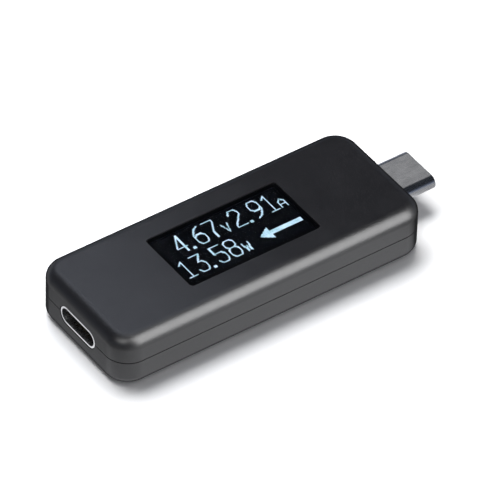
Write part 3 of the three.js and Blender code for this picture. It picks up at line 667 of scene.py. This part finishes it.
def ended_component(node, axis, end, colours, roughness):
    """A chip component: a fired or coated body between two tinned ends."""
    s = Shader("tinned_" + node)
    low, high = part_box(node)
    index = "XYZ".index(axis)
    tinned = s.past_body(node, axis, (high[index] - low[index]) / 2 - end)
    speckle = s.noise(0.08 * MM, detail=3.0)
    body = s.mix(s.ramp(speckle, 0.35, 0.65, 0, 1), *colours)
    s.set(Base_Color=s.mix(tinned, body, rgb(0.62, 0.61, 0.58)), Metallic=tinned)
    rough = s.ramp(speckle, 0.3, 0.7, *roughness)
    s.set(Roughness=s.math("SUBTRACT", rough, s.math("MULTIPLY", tinned, 0.15)))
    s.bump(speckle, 0.01 * MM)
    return s.material


def leaded_component(node, axis, half):
    """Moulded epoxy between tinned leads that stand out past its half length on the axis."""
    s = Shader("leaded_" + node)
    lead = s.past_body(node, axis, half + 0.01 * MM)
    grain = s.noise(0.07 * MM, detail=3.0)
    epoxy = s.mix(s.ramp(grain, 0.3, 0.7, 0, 1), rgb(0.010, 0.010, 0.011), rgb(0.020, 0.020, 0.021))
    s.set(Base_Color=s.mix(lead, epoxy, rgb(0.6, 0.59, 0.56)), Metallic=lead)
    rough = s.ramp(grain, 0.3, 0.7, 0.5, 0.65)
    s.set(Roughness=s.math("SUBTRACT", rough, s.math("MULTIPLY", lead, 0.25)))
    s.bump(grain, 0.012 * MM)
    return s.material


def bare_silicon():
    s = Shader("bare_silicon")
    streak = s.streaks(0.5 * MM, MM / 22.5, detail=1.0)
    s.set(Base_Color=rgb(0.06, 0.06, 0.07), Metallic=0.6, Roughness=s.ramp(streak, 0.3, 0.7, 0.15, 0.3))
    s.bump(streak, 0.0006 * MM)
    return s.material


def pressed_iron():
    s = Shader("pressed_iron")
    grain = s.cells(0.12 * MM)
    s.set(Base_Color=s.mix(grain, rgb(0.03, 0.03, 0.032), rgb(0.075, 0.075, 0.08)))
    s.set(Roughness=s.ramp(grain, 0.0, 0.8, 0.55, 0.8))
    s.bump(grain, 0.02 * MM)
    return s.material


# ================================================================ outside pieces

def housing_pieces():
    """The two covers, refined on their skin and round their connector openings."""
    plastic = moulded_plastic()
    near_end = HOUSING_HIGH.x - END_WALL

    def opening(size, side):
        hole = stadium_bar((size[0] + OPENING_GAP, size[1] + OPENING_GAP), -1)
        return limited(hole, lambda point: point.x * side > near_end)

    openings = [opening(PLUG_SIZE, 1), opening(SOCKET_SIZE, -1)]
    for node, edge in (("top_cover", TOP_EDGE), ("bottom_cover", BOTTOM_EDGE)):
        skin = rounded_block(HOUSING_LOW, HOUSING_HIGH, PLAN_CORNER, edge)

        def on_rim(point, field=skin):
            return abs(field(point)[0]) < ON_SURFACE

        rim = (COVER_RIM_ROUND, on_rim)
        finer(node, node + "_moulding", plastic, [rim], [skin] + openings)


def window_piece():
    def upper(point):
        return point.z > WINDOW_HIGH.z - ON_SURFACE

    rim = (WINDOW_RIM_ROUND, upper)
    finer("display_window", "window_lens", smoked_window(), [rim])


def connector_pieces():
    steel = shell_steel()
    plastic = glass_filled_plastic()
    plug_hole = (PLUG_SIZE[0] - 2 * PLUG_WALL, PLUG_SIZE[1] - 2 * PLUG_WALL)
    socket_hole = (SOCKET_SIZE[0] - 2 * SOCKET_WALL, SOCKET_SIZE[1] - 2 * SOCKET_WALL)
    plug_fields = [stadium_bar(PLUG_SIZE), stadium_bar(plug_hole, -1)]
    socket_fields = [stadium_bar(SOCKET_SIZE), stadium_bar(socket_hole, -1)]

    def plug_rim(point):
        return point.x > PLUG_HIGH.x - ON_SURFACE

    def socket_rim(point):
        return point.x < SOCKET_LOW.x + ON_SURFACE

    for node, rim, fields in (
        ("plug_shell", (PLUG_RIM_ROUND, plug_rim), plug_fields),
        ("socket_shell", (SOCKET_RIM_ROUND, socket_rim), socket_fields),
    ):
        finer(node, node + "_drawn", steel, [rim], fields)
    for node in ("plug_insulator", "socket_tongue"):
        finer(node, node + "_moulding", plastic, [(MOULDING_ROUND, everywhere)])


# ================================================================ read-out

# Each glyph is a list of strokes on a box that is 1 wide and 2 high.
GLYPHS = {
    "1": [[(0.15, 1.6), (0.5, 2), (0.5, 0)], [(0.15, 0), (0.85, 0)]],
    "2": [[(0, 1.6), (0.25, 2), (0.75, 2), (1, 1.7), (1, 1.35), (0, 0.25), (0, 0), (1, 0)]],
    "3": [[(0, 2), (1, 2), (0.45, 1.2), (0.8, 1.15), (1, 0.85), (1, 0.3), (0.75, 0), (0.25, 0), (0, 0.3)]],
    "4": [[(0.75, 0), (0.75, 2), (0, 0.65), (0, 0.55), (1, 0.55)]],
    "5": [[(0.95, 2), (0.05, 2), (0.05, 1.15), (0.7, 1.2), (1, 0.9), (1, 0.3), (0.75, 0), (0.25, 0),
           (0, 0.3)]],
    "6": [[(0.9, 2), (0.4, 1.75), (0, 1.1), (0, 0.3), (0.25, 0), (0.75, 0), (1, 0.3), (1, 0.85),
           (0.75, 1.15), (0.3, 1.15), (0, 0.85)]],
    "7": [[(0, 2), (1, 2), (1, 1.75), (0.45, 0.7), (0.45, 0)]],
    "8": [[(0.25, 1.1), (0, 1.35), (0, 1.75), (0.25, 2), (0.75, 2), (1, 1.75), (1, 1.35), (0.75, 1.1),
           (0.25, 1.1), (0, 0.8), (0, 0.3), (0.25, 0), (0.75, 0), (1, 0.3), (1, 0.8), (0.75, 1.1)]],
    "9": [[(0.1, 0), (0.6, 0.25), (1, 0.9), (1, 1.7), (0.75, 2), (0.25, 2), (0, 1.7), (0, 1.15),
           (0.25, 0.85), (0.75, 0.85), (1, 1.15)]],
    ".": [[(0.5, 0), (0.5, 0.02)]],
    "V": [[(0, 2), (0.5, 0), (1, 2)]],
    "A": [[(0, 0), (0, 1.3), (0.5, 2), (1, 1.3), (1, 0)], [(0, 0.75), (1, 0.75)]],
    "W": [[(0, 2), (0.2, 0), (0.5, 1.3), (0.8, 0), (1, 2)]],
}


def near_segment(x, y, a, b, reach):
    """True when a dot's centre is within reach of the segment from a to b."""
    ax, ay = a
    dx, dy = b[0] - ax, b[1] - ay
    along = max(0.0, min(1.0, ((x - ax) * dx + (y - ay) * dy) / max(dx * dx + dy * dy, 1e-9)))
    return math.hypot(x - ax - along * dx, y - ay - along * dy) <= reach


def glyph_dots(character, left, base, size, reach):
    width, height = size
    dots = set()
    for stroke in GLYPHS[character]:
        points = [(left + x * (width - 1), base + y / 2 * (height - 1)) for x, y in stroke]
        for a, b in zip(points, points[1:]):
            for x in range(left - 2, left + width + 2):
                for y in range(base - 2, base + height + 2):
                    if near_segment(x, y, a, b, reach):
                        dots.add((x, y))
    return dots


def number_dots(text, left, base):
    dots = set()
    for character in text:
        if character == ".":
            dots |= glyph_dots(character, left - POINT_OVERHANG, base, POINT_SIZE, POINT_STROKE)
            left += POINT_STEP
        else:
            dots |= glyph_dots(character, left, base, DIGIT_SIZE, STROKE)
            left += DIGIT_STEP
    return dots


def arrow_dots():
    dots = set()
    for x in range(ARROW["tip"], ARROW["tail"]):
        into_head = x - ARROW["tip"]
        half = ARROW["half"]
        if into_head < ARROW["head"]:
            half = ARROW["head_half"] * (into_head + 1) / ARROW["head"]
        for y in range(PANEL_ROWS):
            if abs(y - ARROW["axis"]) <= half:
                dots.add((x, y))
    return dots


def all_dots():
    dots = arrow_dots()
    rows = ((UPPER_ROW, UPPER_UNITS, ROW_BASES[0]), (LOWER_ROW, LOWER_UNITS, ROW_BASES[1]))
    for numbers, units, base in rows:
        for text, left in numbers:
            dots |= number_dots(text, left, base)
        for unit, left in units:
            dots |= glyph_dots(unit, left, base, UNIT_SIZE, UNIT_STROKE)
    return sorted(dots)


def lit_readout():
    """Each lit dot is a small tile on the polarizer."""
    bm = bmesh.new()
    for column, row in all_dots():
        x = WINDOW_LOW.x + (column + 0.5) * DOT_PITCH
        y = WINDOW_LOW.y + (row + 0.5) * DOT_PITCH
        place = Matrix.Translation((x, y, POLARIZER_HIGH.z + DOT_HEIGHT))
        bmesh.ops.create_cube(bm, size=1, matrix=place @ Matrix.Diagonal((DOT, DOT, DOT_HEIGHT, 1)))
    mesh = bpy.data.meshes.new("lit_dots")
    bm.to_mesh(mesh)
    bm.free()
    mesh_object("lit_readout", mesh, lit_dots())


# ================================================================ inside

def dress(nodes, material):
    for node in nodes:
        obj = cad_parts[node]
        obj.data.materials.clear()
        obj.data.materials.append(material)


def inner_parts():
    dress(CONTACT_ROWS, contact_gold())
    dress(STEEL_STRIPS, spring_steel())
    dress(["oled_front_glass", "oled_back_glass"], panel_glass())
    for node, material in (
        ("window_adhesive", tape),
        ("oled_polarizer", dark_film),
        ("oled_driver_chip", bare_silicon),
        ("oled_flex_cable", amber_film),
        ("display_foam_pad", open_foam),
        ("main_board", solder_masked_board),
        ("power_inductor", pressed_iron),
    ):
        dress([node], material())


def component_parts():
    for node, axis, end in CAPACITORS:
        dress([node], ended_component(node, axis, end, CERAMIC, (0.45, 0.6)))
    for node, axis, end in RESISTORS:
        dress([node], ended_component(node, axis, end, COATING, (0.3, 0.45)))
    for node, axis, half in LEADED:
        dress([node], leaded_component(node, axis, half))


# ================================================================ stage, light and camera

def view_direction():
    """From the object towards the camera."""
    azimuth, elevation = math.radians(CAMERA_AZIMUTH), math.radians(CAMERA_ELEVATION)
    level = math.cos(elevation)
    return Vector((math.sin(azimuth) * level, -math.cos(azimuth) * level, math.sin(elevation)))


def pale_floor():
    """The camera sees it fade into the backdrop, and reflections see it as under a wider light: a painted
    reflection glow that dims past the housing's ends as painted shade.
    """
    s = Shader("pale_floor")
    s.set(Base_Color=rgb(0.83, 0.83, 0.835), Roughness=s.ramp(s.noise(0.02), 0.3, 0.7, 0.55, 0.65))
    s.bump(s.noise(0.8 * MM, detail=2.0), 0.01 * MM)
    away = s.node("ShaderNodeVectorMath", "Value", {"operation": "LENGTH"}, Vector=s.position)
    by_camera = s.node("ShaderNodeLightPath", "Is Camera Ray")
    s.glow(s.math("MULTIPLY", s.ramp(away, *FLOOR_FADE, 0, 1), by_camera), BACKDROP)
    # Painted shade: the floor's painted reflection glow is dimmer past the socket and plug ends.
    painted_shade_past_socket = s.ramp(s.axis("X"), SOCKET_LOW.x - PAINTED_SHADE_SPAN_PAST_SOCKET, SOCKET_LOW.x, *PAINTED_FLOOR_REFLECTION)
    painted_shade_past_plug = s.ramp(s.axis("X"), PLUG_HIGH.x, HOUSING_HIGH.x, *PAINTED_FLOOR_REFLECTION)
    # Painted reflection: the floor glows for glossy rays though it is no lamp.
    in_reflections = s.node("ShaderNodeLightPath", "Is Glossy Ray")
    s.glow(in_reflections, s.math("MINIMUM", painted_shade_past_socket, painted_shade_past_plug))
    mesh = bpy.data.meshes.new("floor")
    bm = bmesh.new()
    bmesh.ops.create_grid(bm, x_segments=1, y_segments=1, size=FLOOR_HALF_WIDTH)
    bm.to_mesh(mesh)
    bm.free()
    floor = bpy.data.objects.new("floor", mesh)
    floor.location.z = CAD_BOX[0].z - FLOOR_GAP
    floor.data.materials.append(s.material)
    bpy.context.scene.collection.objects.link(floor)


def softbox(name, direction, distance, size, radiance, seen_by, colour=(1, 1, 1), target=None):
    """A flat light that faces the target, seen by matt or glossy rays or both."""
    light = bpy.data.lights.new(name, "AREA")
    light.shape = "RECTANGLE"
    light.size, light.size_y = size
    light.energy = radiance * math.pi * size[0] * size[1]
    light.color = colour
    obj = bpy.data.objects.new(name, light)
    aim = Vector(direction).normalized()
    obj.location = (target or HOUSING_CENTRE) + aim * distance
    obj.rotation_mode = "QUATERNION"
    obj.rotation_quaternion = aim.to_track_quat("Z", "Y")
    obj.visible_camera = False
    obj.visible_diffuse = seen_by != "glossy"
    obj.visible_glossy = seen_by != "matt"
    bpy.context.scene.collection.objects.link(obj)
    return obj


def studio_world():
    """A soft room, a pale backdrop for the camera, and for reflections a sky that is dim overhead."""
    world = bpy.data.worlds.new("studio")
    world.use_nodes = True
    tree = world.node_tree
    tree.nodes.clear()

    def background(colour, strength):
        node = tree.nodes.new("ShaderNodeBackground")
        node.inputs["Color"].default_value = colour
        node.inputs["Strength"].default_value = strength
        return node

    def chosen(by, otherwise, shown):
        mix = tree.nodes.new("ShaderNodeMixShader")
        for socket, source in zip(mix.inputs, (by, otherwise, shown)):
            tree.links.new(source, socket)
        return mix.outputs[0]

    height = tree.nodes.new("ShaderNodeSeparateXYZ")
    tree.links.new(tree.nodes.new("ShaderNodeTexCoord").outputs["Generated"], height.inputs[0])
    fade = tree.nodes.new("ShaderNodeMapRange")
    tree.links.new(height.outputs["Z"], fade.inputs["Value"])
    fade.inputs["From Max"].default_value = OVERHEAD_HEIGHT
    fade.inputs["To Min"].default_value = HORIZON_GLOSS
    fade.inputs["To Max"].default_value = OVERHEAD_GLOSS
    sky = background(rgb(0.60, 0.72, 1.0), 1.0)
    tree.links.new(fade.outputs[0], sky.inputs["Strength"])
    path = tree.nodes.new("ShaderNodeLightPath").outputs
    room = background(rgb(0.95, 0.96, 1.0), ROOM_LIGHT).outputs[0]
    lit = chosen(path["Is Glossy Ray"], room, sky.outputs[0])
    seen = chosen(path["Is Camera Ray"], lit, background(PALE, BACKDROP).outputs[0])
    tree.links.new(seen, tree.nodes.new("ShaderNodeOutputWorld").inputs["Surface"])
    bpy.context.scene.world = world


def link_light(light, pieces, state):
    """Makes the light fall only on the pieces, or on all but the pieces."""
    receivers = bpy.data.collections.new(light.name + "_receivers")
    for piece in pieces:
        receivers.objects.link(bpy.data.objects[piece])
    for member in receivers.collection_objects:
        member.light_linking.link_state = state
    light.light_linking.receiver_collection = receivers


def mirror_card(name, place, height, size, radiance, colour):
    """A small level card above the object, which the camera sees mirrored at a place on a flat top."""
    back = view_direction()
    over = place + Vector((-back.x, -back.y, 0)) * (height / back.z)
    return softbox(name, (0, 0, 1), height, size, radiance, "both", colour, over)


def studio_light():
    studio_world()
    boxes = {name: softbox(name, *settings) for name, *settings in SOFTBOXES}
    past_window = Vector((WINDOW_LOW.x - SKY_CARD_OFFSET, 0, HOUSING_HIGH.z))
    sky_card = mirror_card("sky_card", past_window, **SKY_CARD)
    plug_top = Vector(((PLUG_HIGH.x + HOUSING_HIGH.x) / 2, 0, PLUG_HIGH.z))
    plug_card = mirror_card("plug_card", plug_top, **PLUG_CARD)
    link_light(boxes["front_softbox"], ["window_lens", "plug_shell_drawn"], "EXCLUDE")
    link_light(sky_card, ["window_lens"], "EXCLUDE")
    link_light(plug_card, ["plug_shell_drawn"], "INCLUDE")


def corners(low, high):
    return [Vector((x, y, z)) for x in (low.x, high.x) for y in (low.y, high.y) for z in (low.z, high.z)]


def make_camera():
    """Looks from the photographed side, with the lens and aim that fit the object in the frame."""
    back = view_direction()
    eye = HOUSING_CENTRE + back * CAMERA_DISTANCE
    level = Vector((0, 0, 1)).cross(back).normalized()
    above = back.cross(level)
    roll = math.radians(CAMERA_ROLL)
    right = level * math.cos(roll) + above * math.sin(roll)
    up = back.cross(right)
    box = corners(*CAD_BOX)
    spans = [[(p - eye).dot(axis) / (eye - p).dot(back) for p in box] for axis in (right, up)]
    middle = [(min(span) + max(span)) / 2 for span in spans]
    reach = max(max(span) - min(span) for span in spans)
    data = bpy.data.cameras.new("camera")
    data.sensor_width = SENSOR
    data.lens = SENSOR * FRAME_FILL / reach
    data.shift_x, data.shift_y = (value * data.lens / SENSOR for value in middle)
    data.clip_start, data.clip_end = CLIP
    camera = bpy.data.objects.new("camera", data)
    camera.matrix_world = Matrix.Translation(eye) @ Matrix((right, up, back)).transposed().to_4x4()
    bpy.context.scene.collection.objects.link(camera)
    bpy.context.scene.camera = camera


# ================================================================ build

housing_pieces()
window_piece()
connector_pieces()
lit_readout()
inner_parts()
component_parts()
pale_floor()
studio_light()
make_camera()
bpy.context.scene.view_settings.view_transform = "Standard"
